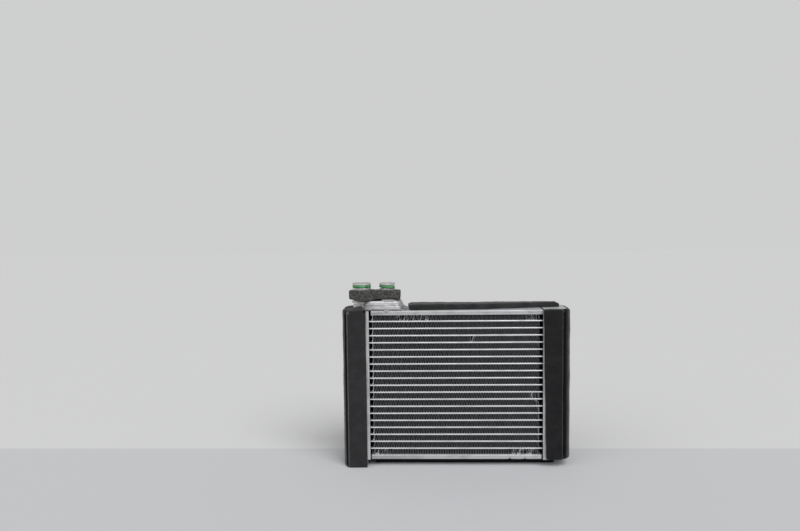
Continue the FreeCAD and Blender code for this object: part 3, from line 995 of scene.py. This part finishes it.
@dataclass
class SidePlates:
    """The plates above and below the fins, each closed along a seam."""

    seam_half: float = 0.28
    seam_depth: float = 0.4
    edge: float = 0.45
    nicks: Sequence[tuple[float, float]] = ((52.3, 1.6), (66.9, 1.1))
    nick_move: Point = (0.0, 0.9, 0.6)
    nick_front: float = -16.5
    nick_top: float = 9.4

    def build(self) -> None:
        """Models both plates and nicks the lower one."""
        self.model("top_side_plate", "top_plate_inner", "top_plate_outer")
        bottom = self.model("bottom_side_plate", "bottom_plate_outer", "bottom_plate_inner")
        for x, width in self.nicks:
            bottom.reshape(lambda place, normal: self.nick(place, x, width))

    def nick(self, place: Vector, x: float, width: float) -> Vector:
        """How far a nick moves a point of the plate's front foot edge."""
        if place.y > self.nick_front or place.z > self.nick_top:
            return Vector()
        return Vector(self.nick_move) * smooth_fall(abs(place.x - x), width)

    def model(self, name: str, lower: str, upper: str) -> Workpiece:
        """Models one plate in the place of its two trays."""
        low, high = box(lower)[0], box(upper)[1]
        low.x = min(low.x, box(upper)[0].x)
        seam = (low.z + high.z) / 2
        plate = Workpiece.block(name, low, high).round_edges(self.edge, 3)
        plate.slice(Axis.Z, seam - self.seam_half, seam, seam + self.seam_half)
        for x, width in self.nicks:
            plate.slice(Axis.X, x - width, x - width / 2, x, x + width / 2, x + width)
        factor = 1.0 - self.seam_depth / high.y
        for side in (-1, 1):
            edge = high.y - 1.0
            plate.pick(Kind.VERT, lambda place, normal: abs(place.z - seam) < 0.02 and place.y * side > edge)
            plate.resize((1.0, factor, 1.0), (0.0, 0.0, seam))
        return plate.smooth().dress(PLATE_METAL, "tank_aluminium", lower, upper)


# The ports


def axis_of(node: str) -> float:
    """Where the upright axis of a turned node lies along the part."""
    low, high = box(node)
    return (low.x + high.x) / 2


@dataclass
class Passage:
    """The liquid passage: a base with a tab, and a dome with a boss."""

    base_corner: float = 6.0
    tab_half: float = 2.5
    scallop: float = 8.9
    boss_rise: float = 1.1
    boss_ends: tuple[float, float] = (-6.4, 10.6)
    boss_depth: float = 12.5
    boss_foot: float = 2.2
    boss_corner: float = 5.0
    dome_corner: float = 7.0
    undercut: float = 1.5
    levels: Sequence[tuple[float, float]] = (
        (0.7, 0.0),
        (0.5, 1.1),
        (1.5, 1.5),
        (0.6, 2.4),
        (1.6, 2.8),
        (0.6, 3.6),
        (1.2, 4.0),
        (0.8, 4.6),
    )

    def build(self) -> None:
        """Models the base, then the dome."""
        self.model_base()
        self.model_dome()

    def model_base(self) -> None:
        """Models the flat base, and the tab over the front edge."""
        low, high = box("passage_base")
        plate_low, plate_high = box("top_plate_outer")
        base = Workpiece.block("passage_base_sheet", (low.x, plate_low.y, plate_high.z), high)
        corner, upright = high.x - 0.1, (plate_high.z + high.z) / 2
        base.pick(Kind.EDGE, lambda middle, normal: middle.x > corner and abs(middle.z - upright) < 0.1)
        base.bevel(self.base_corner, 6).round_edges(0.2)
        front, foot = plate_low.y + 0.5, plate_high.z + 0.4
        base.pick(Kind.VERT, lambda place, normal: place.y < front and place.z < foot)
        base.push((0.0, self.undercut, 0.0)).close()
        middle = axis_of("liquid_pipe")
        left, right = middle - self.tab_half, middle + self.tab_half
        tab = Workpiece.block("tab", (left, low.y, low.z), (right, plate_low.y + 0.3, high.z - 0.2))
        tab.pick(Kind.FACE, lambda place, normal: normal.z < -0.9).resize((0.3, 1.0, 1.0), (middle, 0.0, 0.0))
        tab.round_edges(0.25)
        base.cut_away(self.stem_hole(low.z, high.z)).join(tab).smooth()
        base.dress(DOME_METAL, "port_aluminium", "passage_base")

    def model_dome(self) -> None:
        """Models the dome's pressed steps, and the boss that carries the pipe."""
        low, high = box("passage_body")
        half_x, centre = (high.x - low.x) / 2, ((low.x + high.x) / 2, 0.0, 0.0)
        dome = Workpiece.block("passage_dome", low, (high.x, high.y, low.z + 0.4))
        dome.pick(Kind.EDGE, lambda middle, normal: abs(middle.z - low.z - 0.2) < 0.05)
        dome.bevel(self.dome_corner, 8)
        dome.pick(Kind.FACE, lambda place, normal: normal.z > 0.9)
        inset = 0.0
        for rise, target in self.levels:
            narrower = (half_x - target * 0.75) / (half_x - inset * 0.75)
            dome.extrude((0.0, 0.0, rise))
            dome.resize((narrower, (high.y - target) / (high.y - inset), 1.0), centre)
            inset = target
        dome.round_edges(0.45, segments=3, angle=12.0)
        middle = axis_of("liquid_pipe")
        left, right = (middle + end for end in self.boss_ends)
        foot, head = high.z - self.boss_foot, high.z + self.boss_rise
        boss = Workpiece.block("boss", (left, -self.boss_depth, foot), (right, self.boss_depth, head))
        boss.pick(Kind.EDGE, lambda middle, normal: abs(middle.z - (foot + head) / 2) < 0.1)
        boss.bevel(self.boss_corner, 8).round_edges(0.4, segments=3)
        dome.cut_away(self.stem_hole(low.z, high.z)).join(boss)
        dome.reshape(self.dent).smooth(angle=40.0).dress(DOME_METAL, "port_aluminium", "passage_body")

    def stem_hole(self, low: float, high: float) -> Workpiece:
        """The shape that makes room for the suction pipe's stem."""
        return Workpiece.drum("hole", axis_of("suction_pipe"), self.scallop, low - 2.0, high + 2.0, 48)

    def dent(self, place: Vector, normal: Vector) -> Vector:
        """The slight waves that pressing leaves in the dome's sides."""
        wave = 0.35 * noise.noise(place * 0.22) + 0.22 * noise.noise(place * 0.6)
        return normal * wave if abs(normal.z) < 0.97 else Vector()


@dataclass
class Spigot:
    """A turned pipe end with its seal ring.

    Attributes:
        port: Whose pipe end it is.
        bore: The radius of its hole.
        root: The radius of the ring's groove.
        stem: The radius under the head.
        bead: The bead's radius, foot and head.
        neck: The radius under the bead, where it is narrower than the stem.
        ring_drop: How much lower than the solid's the ring sits.
        ring_tilt: The ring's slant, in degrees.
        collar_low: Where the head starts.
        chamfer: The width of the chamfer round the head.
        mouth: The width of the chamfer inside the mouth.
        groove_edge: The width of the chamfers beside the ring's groove.
    """

    port: str
    bore: float
    root: float
    stem: float
    bead: tuple[float, float, float]
    neck: float = 0.0
    ring_drop: float = 0.0
    ring_tilt: float = 0.0
    collar_low: float = 171.4
    chamfer: float = 0.7
    mouth: float = 0.6
    groove_edge: float = 0.35

    def build(self) -> None:
        """Draws the pipe up step by step, and adds the ring."""
        low, high = box(f"{self.port}_pipe")
        ring_low, ring_high = box(f"{self.port}_seal_ring")
        middle, radius = (low.x + high.x) / 2, (high.x - low.x) / 2
        spare = 0.1 + self.ring_tilt * 0.1
        bead, bead_low, bead_high = self.bead
        collar, groove = ring_low.z - self.ring_drop - spare, ring_high.z - self.ring_drop + spare
        steps = (
            (bead, bead_low + 0.3),
            (bead, bead_high - 0.3),
            (self.stem, bead_high),
            (self.stem, self.collar_low),
            (radius, self.collar_low + 0.4),
            (radius, collar - self.groove_edge),
            (radius - self.groove_edge, collar),
            (self.root, collar),
            (self.root, groove),
            (radius - self.groove_edge, groove),
            (radius, groove + self.groove_edge),
            (radius, high.z - self.chamfer),
            (radius - self.chamfer, high.z),
            (self.bore + self.mouth, high.z),
            (self.bore, high.z - self.mouth),
            (self.bore, low.z + 3.0),
        )
        wide, level = self.stem, bead_low
        if self.neck:
            level -= 1.3
            steps = ((self.neck, level + 0.2), (self.neck, bead_low - 0.1), *steps)
        pipe = Workpiece.drum(f"{self.port}_spigot", middle, wide, low.z, level, 72)
        pipe.pick(Kind.FACE, lambda place, normal: normal.z > 0.9)
        for next_wide, next_level in steps:
            pipe.extrude((0.0, 0.0, next_level - level))
            pipe.resize((next_wide / wide, next_wide / wide, 1.0), (middle, 0.0, next_level))
            wide, level = next_wide, next_level
        pipe.smooth(angle=30.0).dress(PIPE_METAL, "port_aluminium", f"{self.port}_pipe")
        self.model_ring(middle, radius, ring_low.z - self.ring_drop, ring_high.z - self.ring_drop)

    def model_ring(self, middle: float, radius: float, low: float, high: float) -> None:
        """Models the round rubber ring, pressed into its groove."""
        start_fresh()
        bpy.ops.mesh.primitive_torus_add(
            location=millimetres((middle, 0.0, (low + high) / 2)),
            major_segments=72,
            minor_segments=16,
            major_radius=(radius - 1.1) * MM,
            minor_radius=(high - low) / 2 * MM,
        )
        ring = Workpiece.added(f"{self.port}_ring")
        ring.pick_all().turn(self.ring_tilt, Axis.Y, (middle, 0.0, (low + high) / 2)).close()
        ring.roughen(waves=6.0, height=0.15, seed=middle).smooth(angle=80.0)
        ring.dress(RING_RUBBER, "seal_rubber", f"{self.port}_seal_ring")


# The foam


@dataclass
class PortGasket:
    """The worn gasket round both pipes, with a sagging foot."""

    cell: float = 0.55
    corner: float = 1.6
    crown: float = 1.9
    round_end: float = 0.5
    sag: float = 2.3
    sag_place: float = -90.0
    short_end: float = 1.2
    raised: float = 0.5
    raised_from: float = -81.0
    raised_end: float = 0.6
    grip: float = 0.1

    def build(self) -> None:
        """Models the block, bores it and wears its surface."""
        low, high = box("port_gasket")
        gasket = Workpiece.block("port_gasket_foam", low, high)
        gasket.pick(Kind.EDGE, lambda middle, normal: abs(middle.z - (low.z + high.z) / 2) < 0.1)
        gasket.bevel(self.corner, 3)
        for port in ("suction", "liquid"):
            pipe_low, pipe_high = box(f"{port}_pipe")
            radius = (pipe_high.x - pipe_low.x) / 2 - self.grip
            hole = Workpiece.drum("hole", axis_of(f"{port}_pipe"), radius, low.z - 4.0, high.z + 4.0)
            gasket.cut_away(hole)
        gasket.remesh(self.cell).soften(3).reshape(lambda place, normal: self.settle(place, low, high))
        gasket.roughen(waves=5.0, height=0.35, seed=3.0).roughen(waves=1.3, height=0.35, seed=8.0)
        gasket.mark_wear_and_light(gain=4.0)
        gasket.dress_foam(GASKET_FOAM, "open_cell_foam", "port_gasket", 0.8)

    def settle(self, place: Vector, low: Vector, high: Vector) -> Vector:
        """How far a point sinks at the top's rear and ends, and where the foot sags or lifts."""
        share = (place.z - low.z) / (high.z - low.z)
        end = smooth_fall(min(place.x - low.x, high.x - place.x), 6.0)
        rear = max(0.0, place.y / high.y)
        sink = (self.crown * rear + self.round_end * end) * share
        sink += self.sag * (1.0 - share) * smooth_fall(abs(place.x - self.sag_place), 17.0)
        sink -= self.raised_end * (1.0 - share) * smooth_fall(place.x - low.x, 9.0)
        forward = max(0.0, -place.y / high.y)
        beside = 1.0 - smooth_fall(max(0.0, place.x - self.raised_from), 5.0)
        sink -= self.raised * (1.0 - share) * forward * beside
        shorter = self.short_end * (1.0 - rear) * smooth_fall(place.x - low.x, 8.0)
        return Vector((shorter, 0.0, -sink))


@dataclass
class TankFoam:
    """The foam sleeve of one tank, with a pad, a step and a round back."""

    side: int
    name: str
    node: str
    finish: Finish
    folded: bool
    cell: float = 1.0
    face: float = 17.1
    groove: float = 3.5
    lean: tuple[float, float] = (0.0, 0.0)
    tuck: float = 0.0
    step: float = 2.4
    step_half: float = 12.0
    bulge: float = 7.5
    softness: int = 4
    draw_in: float = 0.2
    fullness: float = 0.6
    swell: float = 3.6
    edge_highlight: float = 0.35
    top_rise: float = 0.0
    tank_corner: float = 9.0
    tank_top: float = 154.0
    pad_front: float = -18.0
    stem_room: float = 8.7
    room: float = 0.15
    creases: Sequence[Run] = ()

    def build(self) -> None:
        """Models the sleeve, hollows it, wears its surface and paints highlights and shade on it."""
        low, high = box(self.node)
        start = min(abs(low.x), abs(high.x))
        sleeve = Workpiece.block(self.name, low, high)
        pad_edge = start + self.face
        sleeve.slice(Axis.X, self.side * pad_edge, self.side * (pad_edge + self.step / 2))
        sleeve.pick(Kind.VERT, lambda place, normal: abs(place.x) > pad_edge + 0.5)
        sleeve.resize((1.0, 1.0 - self.step / high.y, 1.0), (0.0, 0.0, 0.0))
        back = max(abs(low.x), abs(high.x))
        upright = (low.z + high.z) / 2
        ends = back - 0.1
        sleeve.pick(Kind.EDGE, lambda middle, normal: abs(middle.x) > ends and abs(middle.z - upright) < 1.0)
        sleeve.bevel(self.bulge, 8)
        sleeve.cut_away(*self.hollow(start))
        sleeve.remesh(self.cell).soften(self.softness)
        sleeve.reshape(lambda place, normal: self.round_back(place, pad_edge, back))
        self.wear(sleeve, low, high)
        sleeve.mark_wear_and_light(gain=3.0, extra=lambda place: self.mark_step(place, pad_edge))
        sleeve.dress_foam(self.finish, "skinned_foam", self.node, 0.9)

    def mark_step(self, place: Vector, pad_edge: float) -> tuple[float, float]:
        """Painted highlight on the pad's edge and creases, and painted shade in the groove beside it."""
        past = abs(place.x) - pad_edge
        if abs(place.y) < self.step_half:
            return 0.0, 0.0
        creased = min((distance_to_run(place, run) for run in self.creases), default=9.0)
        # Painted highlight along the pad's edge and the creases; the second value is painted shade in the
        # groove.
        rub = self.edge_highlight * smooth_fall(abs(past + 0.7), 1.2) + smooth_fall(creased, 1.9)
        return rub, smooth_fall(abs(past - self.groove / 2), self.groove / 2 + 0.7)

    def round_back(self, place: Vector, pad_edge: float, back: float) -> Vector:
        """How far the back draws in, the pad's inner edge leans and its top rises."""
        share = max(0.0, (abs(place.x) - pad_edge) / (back - pad_edge))
        lean = rise = 0.0
        if place.y < self.pad_front:
            height = min(1.0, max(0.0, place.z / self.tank_top))
            lean = self.lean[0] + (self.lean[1] - self.lean[0]) * height
            lean *= smooth_fall(max(0.0, abs(place.x) - (pad_edge - self.face) - 0.5), 6.0)
            rise = self.top_rise * smooth_fall(max(0.0, self.tank_top - place.z), 8.0)
        inward = -place.y * self.draw_in * share * share
        return Vector((self.side * (lean - self.tuck * share), inward, rise))

    def hollow(self, start: float) -> list[Workpiece]:
        """The room for the tank, the header plate's lips and the pipe's stem."""
        tank_low, tank_high = box(self.node.replace("_foam", "_cover"))
        lips_low, lips_high = box(self.node.replace("tank_foam", "header_plate"))
        margin = self.room if self.folded else 8.0
        reach = max(abs(tank_low.x), abs(tank_high.x)) + self.room
        half = tank_high.y + self.room
        ends = sorted((self.side * reach, self.side * (start - 3.0)))
        corners = (ends[0], -half, tank_low.z - margin), (ends[1], half, tank_high.z + margin)
        tank = Workpiece.block("tank_room", *corners)
        back, edge = reach - 0.1, half - 0.1
        tank.pick(Kind.EDGE, lambda middle, normal: abs(middle.x) > back and abs(middle.y) > edge)
        tank.bevel(self.tank_corner, 8)
        lip, half = max(abs(lips_low.x), abs(lips_high.x)) + self.room, lips_high.y + self.room
        ends = sorted((self.side * lip, self.side * (start - 3.0)))
        corners = (ends[0], -half, lips_low.z - margin), (ends[1], half, lips_high.z + 8.0)
        rooms = [tank, Workpiece.block("lip_room", *corners)]
        if self.folded:
            middle, level = axis_of("suction_pipe"), tank_high.z
            rooms.append(Workpiece.drum("stem_room", middle, self.stem_room, level - 2.0, level + 8.0, 48))
        return rooms

    def wear(self, sleeve: Workpiece, low: Vector, high: Vector) -> None:
        """Ripples the foam, sinks the step and creases the folds."""
        sleeve.roughen(waves=16.0, height=0.35, seed=2.0 * self.side)
        sleeve.roughen(waves=3.0, height=0.14, seed=5.0)
        start = min(abs(low.x), abs(high.x))
        for front in (low.y, high.y):
            foot = self.side * (start + self.face + self.groove / 2), front * (1.0 - self.step * 0.8 / high.y)
            run = (*foot, low.z + 4.0), (*foot, high.z - 4.0)
            sleeve.crease(run, width=self.groove * 0.6 + 0.6, depth=2.2)
        for crease in self.creases:
            sleeve.crease(crease, width=1.6, depth=1.2)
        if self.folded:
            stem = Vector((axis_of("suction_pipe"), -11.0, high.z))
            sleeve.reshape(lambda place, normal: self.lift(place, stem))

    def lift(self, place: Vector, peak: Vector) -> Vector:
        """How far the folded top swells before the suction pipe's stem."""
        away = math.hypot(place.x - peak.x, (place.y - peak.y) * 0.8)
        rise = self.fullness + self.swell * smooth_fall(away, 17.0)
        return Vector((0.0, 0.0, rise)) if place.z > peak.z - 1.8 else Vector()


@dataclass
class FoamStrip:
    """A straight strip of foam glued along a side plate."""

    name: str
    node: str
    finish: Finish
    cell: float = 0.6
    wave: float = 0.35
    softness: int = 3

    def build(self) -> None:
        """Models the strip, wears its surface and paints highlights and shade on it."""
        low, high = box(self.node)
        strip = Workpiece.block(self.name, low, high)
        self.trim(strip, low, high)
        strip.remesh(self.cell).soften(self.softness)
        strip.roughen(waves=11.0, height=self.wave, seed=4.0).roughen(waves=2.4, height=0.14, seed=7.0)
        strip.reshape(lambda place, normal: self.settle(place, low, high)).mark_wear_and_light(gain=4.0)
        strip.dress_foam(self.finish, "skinned_foam", self.node, 0.9)

    def trim(self, strip: Workpiece, low: Vector, high: Vector) -> None:
        """Trims the strip's plan. A plain strip keeps its block."""

    def settle(self, place: Vector, low: Vector, high: Vector) -> Vector:
        """How far a point rises so that the strip's foot stays flat."""
        return Vector((0.0, 0.0, max(0.0, low.z - place.z)))


@dataclass
class TopStrip(FoamStrip):
    """The strip on the top plate, which narrows to the right."""

    bend: float = 30.0
    bend_depth: float = 19.3
    right_depth: float = 4.0
    slant: float = 1.9
    crown: float = 0.7
    longer: float = 0.6
    round_left: float = 1.0
    round_right: float = 1.8
    raised: float = 0.3

    def trim(self, strip: Workpiece, low: Vector, high: Vector) -> None:
        """Moves the front edge back to the right, and slants the left end."""
        strip.slice(Axis.X, self.bend)
        for x, depth in ((self.bend, self.bend_depth), (high.x, self.right_depth)):
            strip.pick(Kind.VERT, lambda place, normal: abs(place.x - x) < 0.1 and place.y < 0.0)
            strip.push((0.0, high.y - depth - low.y, 0.0))
        strip.pick(Kind.VERT, lambda place, normal: place.x < low.x + 0.1 and place.z < low.z + 0.1)
        strip.push((self.slant, 0.0, 0.0))

    def settle(self, place: Vector, low: Vector, high: Vector) -> Vector:
        """Also crowns the strip, rounds its ends and lengthens the left one."""
        share = max(0.0, (place.z - low.z) / (high.z - low.z))
        forward = (high.y - place.y) / (high.y - low.y)
        left = -self.longer * smooth_fall(place.x - low.x, 6.0)
        rise = self.raised + self.crown * forward
        rise -= self.round_left * smooth_fall(place.x - low.x, 3.5)
        rise -= self.round_right * smooth_fall(high.x - place.x, 5.0)
        return super().settle(place, low, high) + Vector((left, 0.0, share * rise))


# The studio


@dataclass
class Studio:
    """The camera, the lamps and the pale floor."""

    eye: Point = (-30.5, -700.9, 247.1)
    pitch: float = 4.09
    yaw: float = -1.91
    roll: float = -0.64
    lens: float = 31.905
    sky: Colour = (0.62, 0.622, 0.625)
    sky_level: float = 0.42

    def build(self) -> None:
        """Sets up everything round the part."""
        self.add_camera()
        self.add_lamp("key", (-0.45, 0.80, -1.0), strength=1.95, spread=40.0)
        self.add_lamp("fill", (0.70, 0.75, -0.9), strength=0.65, spread=50.0)
        self.add_floor()
        self.light_world()

    def add_camera(self) -> None:
        """Adds the camera."""
        bpy.ops.object.camera_add(location=millimetres(self.eye))
        camera = bpy.context.object
        camera.name = "camera"
        turn = Matrix.Rotation(math.radians(-self.yaw), 4, "Z")
        turn @= Matrix.Rotation(math.radians(90.0 - self.pitch), 4, "X")
        turn @= Matrix.Rotation(math.radians(self.roll), 4, "Z")
        camera.matrix_world = Matrix.Translation(millimetres(self.eye)) @ turn
        camera.data.lens = self.lens
        camera.data.sensor_width = 36.0
        bpy.context.scene.camera = camera

    def add_lamp(self, name: str, direction: Point, strength: float, spread: float) -> None:
        """Adds a wide sun lamp.

        Args:
            name: The lamp's name.
            direction: The way in which its light goes.
            strength: Its strength.
            spread: The angle that it fills, in degrees.
        """
        bpy.ops.object.light_add(type="SUN")
        lamp = bpy.context.object
        lamp.name = name
        lamp.rotation_euler = Vector(direction).to_track_quat("-Z", "Y").to_euler()
        lamp.data.energy = strength
        lamp.data.angle = math.radians(spread)

    def add_floor(self) -> None:
        """Adds the floor."""
        bpy.ops.mesh.primitive_plane_add(size=8.0)
        floor = bpy.context.object
        floor.name = "floor"
        floor.data.materials.append(FloorPaint("floor_paint").material())

    def light_world(self) -> None:
        """Lights the scene, and shows the camera a plain pale wall."""
        bpy.context.scene.view_settings.view_transform = "Standard"
        world = bpy.data.worlds.new("daylight")
        bpy.context.scene.world = world
        world.use_nodes = True
        nodes, links = world.node_tree.nodes, world.node_tree.links
        light = nodes["Background"]
        light.inputs["Color"].default_value = (1.0, 1.0, 1.0, 1.0)
        light.inputs["Strength"].default_value = self.sky_level
        wall = nodes.new("ShaderNodeBackground")
        wall.inputs["Color"].default_value = (*self.sky, 1.0)
        path = nodes.new("ShaderNodeLightPath")
        mix = nodes.new("ShaderNodeMixShader")
        links.new(path.outputs["Is Camera Ray"], mix.inputs["Fac"])
        links.new(light.outputs["Background"], mix.inputs[1])
        links.new(wall.outputs["Background"], mix.inputs[2])
        links.new(mix.outputs["Shader"], nodes["World Output"].inputs["Surface"])


LEFT_CREASES = (
    ((-106.0, -19.5, 154.5), (-102.6, -23.0, 152.6)),
    ((-92.6, -18.5, 154.5), (-88.2, -23.0, 152.2)),
)
BENT_PATCHES = (
    BentPatch(20, -58.0, -43.0, 1.1, 0.7, 0.4),
    BentPatch(20, -43.0, -22.0, 0.5, 0.4),
    BentPatch(20, 66.0, 81.4, -0.8, 0.6),
    BentPatch(17, 14.5, 18.5, 1.2, 0.9, 0.3),
    BentPatch(9, 72.0, 79.0, 1.0, 0.8, 0.3),
    BentPatch(8, 76.0, 81.4, -0.9, 0.8, 0.3),
    BentPatch(1, -81.4, -64.0, 1.2, 0.7),
    BentPatch(1, 51.5, 67.0, -0.5, 0.4),
    BentPatch(1, 67.0, 81.4, -1.1, 0.7),
)


def main() -> None:
    """Builds every sub-assembly in order."""
    logging.basicConfig(level=logging.INFO, format="%(asctime)s %(message)s")
    TubeBank().build()
    FinBank(patches=BENT_PATCHES).build()
    SidePlates().build()
    repaint(HEADER_METAL, "left_header_plate", "right_header_plate")
    repaint(COVER_METAL, "left_tank_cover", "right_tank_cover")
    Passage().build()
    Spigot("suction", 5.8, 7.2, 8.6, (9.6, 160.1, 162.0), neck=7.4).build()
    Spigot("liquid", 4.2, 5.4, 7.3, (7.6, 163.7, 164.6), ring_drop=0.6, ring_tilt=4.0).build()
    PortGasket().build()
    TankFoam(
        side=-1,
        name="left_foam_sleeve",
        node="left_tank_foam",
        finish=LEFT_SKIN,
        folded=True,
        face=18.8,
        groove=2.0,
        tuck=0.9,
        bulge=9.0,
        creases=LEFT_CREASES,
    ).build()
    TankFoam(
        side=1,
        name="right_foam_sleeve",
        node="right_tank_foam",
        finish=RIGHT_SKIN,
        folded=False,
        lean=(1.2, -1.6),
        bulge=7.0,
        edge_highlight=0.12,
        top_rise=1.1,
    ).build()
    TopStrip("top_seal_strip", "top_foam_strip", STRIP_SKIN).build()
    FoamStrip("foot_seal_strip", "bottom_foam_strip", FOOT_SKIN).build()
    Studio().build()


if __name__ == "__main__":
    main()
